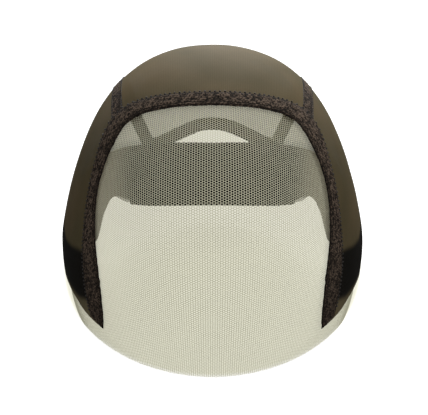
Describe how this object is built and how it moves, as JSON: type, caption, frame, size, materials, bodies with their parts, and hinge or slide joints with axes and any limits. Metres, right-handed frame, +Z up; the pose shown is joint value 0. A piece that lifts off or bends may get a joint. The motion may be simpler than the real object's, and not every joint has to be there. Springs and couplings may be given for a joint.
{
  "type": "wig cap",
  "caption": "Lace front wig cap with sheer stretch mesh panels, elastic tape seams and a velvet grip inside, shaped as it sits on a head.",
  "frame": {"origin": "the point where the crown of the head touches the inside of the cap", "axes": "+Z up, -Y towards the forehead, +X towards the wearer's left ear"},
  "size_m": [0.1672, 0.1985, 0.1569],
  "materials": {
    "lace": "fine hexagonal net, matt",
    "mesh": "sheer stretch mesh, matt",
    "tape": "knitted elastic tape, matt",
    "velvet": "short pile velvet"
  },
  "bodies": {
    "root": {"lace_front": "lace", "arch_tape": "tape", "crown_panel": "mesh", "crown_edge_tape": "tape", "nape_band": "velvet", "side_panel_left": "mesh", "side_panel_right": "mesh", "seam_tape_left": "tape", "seam_tape_right": "tape", "side_grip_left": "velvet", "side_grip_right": "velvet"}
  },
  "joints": []
}
